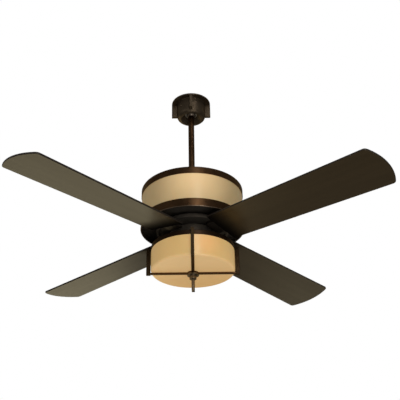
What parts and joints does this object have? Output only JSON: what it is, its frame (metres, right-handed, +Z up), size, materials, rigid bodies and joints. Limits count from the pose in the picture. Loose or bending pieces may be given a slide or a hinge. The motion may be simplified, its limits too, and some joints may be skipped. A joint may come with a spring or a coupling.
{
  "type": "ceiling fan",
  "caption": "Downrod ceiling fan with pitched plank blades, an uplight glass drum above them and a caged glass light bowl with a finial below.",
  "frame": {"origin": "centre of the hanger bracket's flat top face, in the plane of the ceiling", "axes": "+Z points up into the ceiling, along the downrod and the fan's spin axis; the light kit's four cage posts lie along +X, +Y, -X and -Y; at rest the first blade lies 41.6 degrees clockwise of +X seen from above"},
  "size_m": [1.138, 1.138, 0.735],
  "materials": {
    "bronze_metal": "oil-rubbed dark bronze, satin",
    "blade_wood": "dark walnut veneer, satin",
    "amber_glass": "frosted cream to amber glass",
    "zinc_steel": "zinc plated",
    "cast_alloy": "as cast",
    "core_steel": "stacked laminations",
    "copper_wire": "enamelled copper wire",
    "socket_ceramic": "glazed white",
    "bulb_glass": "frosted bulb glass",
    "black_plastic": "moulded, fine satin"
  },
  "bodies": {
    "ceiling_mount": {"hanger_bracket": "zinc_steel", "canopy": "bronze_metal", "canopy_screw_left": "bronze_metal", "canopy_screw_right": "bronze_metal"},
    "hanging_frame": {"ball_pin": "zinc_steel", "cage_cross": "bronze_metal", "cage_post_back": "bronze_metal", "cage_post_front": "bronze_metal", "cage_post_left": "bronze_metal", "cage_post_right": "bronze_metal", "coupling_cover": "bronze_metal", "coupling_pin": "zinc_steel", "downrod": "bronze_metal", "finial": "bronze_metal", "finial_cup": "bronze_metal", "fitter_pan": "bronze_metal", "hanger_ball": "cast_alloy", "light_bulb_left": "bulb_glass", "light_bulb_right": "bulb_glass", "light_socket_left": "socket_ceramic", "light_socket_right": "socket_ceramic", "lower_glass": "amber_glass", "lower_pan": "bronze_metal", "motor_coupling": "cast_alloy", "motor_shaft": "zinc_steel", "stator_core": "core_steel", "stator_windings": "copper_wire", "supply_cable": "black_plastic", "switch_housing": "bronze_metal", "tie_rod_1": "zinc_steel", "tie_rod_2": "zinc_steel", "tie_rod_3": "zinc_steel", "top_plate": "cast_alloy", "top_ring": "bronze_metal", "uplight_bulb_1": "bulb_glass", "uplight_bulb_2": "bulb_glass", "uplight_bulb_3": "bulb_glass", "uplight_socket_1": "socket_ceramic", "uplight_socket_2": "socket_ceramic", "uplight_socket_3": "socket_ceramic", "upper_glass": "amber_glass"},
    "rotor": {"rotor_top_bell": "cast_alloy", "rotor_bottom_bell": "cast_alloy", "rotor_cage_ring": "core_steel", "upper_bearing": "zinc_steel", "lower_bearing": "zinc_steel", "blade_hub": "bronze_metal", "blade_arm_1": "bronze_metal", "blade_arm_2": "bronze_metal", "blade_arm_3": "bronze_metal", "blade_arm_4": "bronze_metal", "blade_1": "blade_wood", "blade_2": "blade_wood", "blade_3": "blade_wood", "blade_4": "blade_wood", "blade_screw_1": "zinc_steel", "blade_screw_2": "zinc_steel", "blade_screw_3": "zinc_steel", "blade_screw_4": "zinc_steel"},
    "reversing_slide": {"reversing_switch": "black_plastic"}
  },
  "joints": [
    {"name": "hanger_swing", "type": "hinge", "parent": "ceiling_mount", "child": "hanging_frame", "pos_m": [0, 0, -0.038], "axis": [1, 0, 0], "range_deg": [-15, 15]},
    {"name": "fan_spin", "type": "hinge", "parent": "hanging_frame", "child": "rotor", "pos_m": [0, 0, -0.545], "axis": [0, 0, 1], "continuous": true},
    {"name": "reversing_switch_travel", "type": "slide", "parent": "hanging_frame", "child": "reversing_slide", "axis": [0, 0, 1], "range_m": [0, 0.008]}
  ]
}
